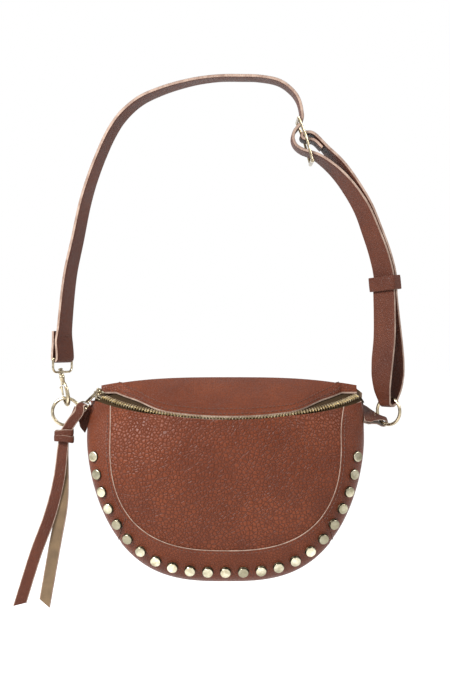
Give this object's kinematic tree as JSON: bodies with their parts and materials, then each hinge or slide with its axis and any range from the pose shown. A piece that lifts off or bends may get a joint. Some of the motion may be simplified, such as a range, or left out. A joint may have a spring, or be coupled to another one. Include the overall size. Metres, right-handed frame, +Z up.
{
  "type": "sling bag",
  "caption": "Half-moon leather sling bag with an arched zip, a studded border, a swivel clasp and an adjustable strap.",
  "frame": {"origin": "inside of the strap's highest point, where it is carried", "axes": "+Z up, the front of the bag faces -Y, +X to the viewer's right"},
  "size_m": [0.3882, 0.0771, 0.5266],
  "materials": {
    "leather": "pebbled semi-matt",
    "lining": "woven cotton",
    "zip_tape": "woven tape",
    "gold": "polished pale gold plating",
    "zip_brass": "brushed",
    "stud_brass": "aged satin"
  },
  "bodies": {
    "strap": {"strap": "leather", "tri_glide": "gold", "clasp_loop": "gold"},
    "clasp": {"clasp_hook": "gold"},
    "clasp_gate": {"clasp_gate": "gold"},
    "keeper": {"strap_keeper": "leather"},
    "bag": {"front_panel": "leather", "border_left": "leather", "border_bottom": "leather", "border_right": "leather", "back_panel": "leather", "lining_front": "lining", "lining_back": "lining", "slip_pocket": "lining", "zip_tape_front": "zip_tape", "zip_teeth_front": "zip_brass", "left_tab": "leather", "right_tab": "leather", "stud_01": "stud_brass", "stud_02": "stud_brass", "stud_03": "stud_brass", "stud_04": "stud_brass", "stud_05": "stud_brass", "stud_06": "stud_brass", "stud_07": "stud_brass", "stud_08": "stud_brass", "stud_09": "stud_brass", "stud_10": "stud_brass", "stud_11": "stud_brass", "stud_12": "stud_brass", "stud_13": "stud_brass", "stud_14": "stud_brass", "stud_15": "stud_brass", "stud_16": "stud_brass", "stud_17": "stud_brass", "stud_18": "stud_brass", "stud_19": "stud_brass", "stud_20": "stud_brass", "stud_21": "stud_brass", "stud_22": "stud_brass", "stud_23": "stud_brass"},
    "flap": {"top_panel": "leather", "top_zip_strip": "leather", "lining_top": "lining", "zip_tape_rear": "zip_tape", "zip_teeth_rear": "zip_brass"},
    "slider": {"zip_slider": "gold"},
    "puller": {"zip_puller": "gold"},
    "thong": {"pull_thong": "leather", "thong_wrap": "leather"},
    "left_ring": {"left_ring": "gold"},
    "right_ring": {"right_ring": "gold"}
  },
  "joints": [
    {"name": "bag_swing", "type": "hinge", "parent": "strap", "child": "bag", "pos_m": [0, 0, -0.3185], "axis": [1, 0, 0], "range_deg": [-25, 25]},
    {"name": "hook_swivel", "type": "hinge", "parent": "strap", "child": "clasp", "pos_m": [-0.164, 0, -0.2925], "axis": [-0.1908, 0, 0.9816], "range_deg": [-8, 8]},
    {"name": "gate_press", "type": "hinge", "parent": "clasp", "child": "clasp_gate", "pos_m": [-0.16443, 0.00574, -0.30735], "axis": [0.854, 0.4931, 0.166], "range_deg": [0, 12], "stiffness_Nm_per_rad": 0.02},
    {"name": "keeper_slide", "type": "slide", "parent": "strap", "child": "keeper", "axis": [0.0995, 0, -0.995], "range_m": [-0.002, 0.003]},
    {"name": "left_ring_spin", "type": "hinge", "parent": "bag", "child": "left_ring", "pos_m": [-0.159, 0, -0.3322], "axis": [0, 1, 0], "continuous": true},
    {"name": "right_ring_spin", "type": "hinge", "parent": "bag", "child": "right_ring", "pos_m": [0.1635, 0, -0.3315], "axis": [0.6691, 0.7431, 0], "continuous": true},
    {"name": "flap_open", "type": "hinge", "parent": "bag", "child": "flap", "pos_m": [0, 0.013, -0.2985], "axis": [-1, 0, 0], "range_deg": [0, 75]},
    {"name": "zip_run", "type": "hinge", "parent": "bag", "child": "slider", "pos_m": [0.004, 0.10823, -0.27725], "axis": [0, -0.342, 0.9397], "range_deg": [0, 93.5]},
    {"name": "puller_lift", "type": "hinge", "parent": "slider", "child": "puller", "pos_m": [-0.12604, 0.00127, -0.31043], "axis": [-0.7628, 0.6077, 0.2212], "range_deg": [0, 20]},
    {"name": "thong_swing", "type": "hinge", "parent": "puller", "child": "thong", "pos_m": [-0.14127, -0.01205, -0.32636], "axis": [1, 0, 0], "range_deg": [-22, 0]}
  ]
}
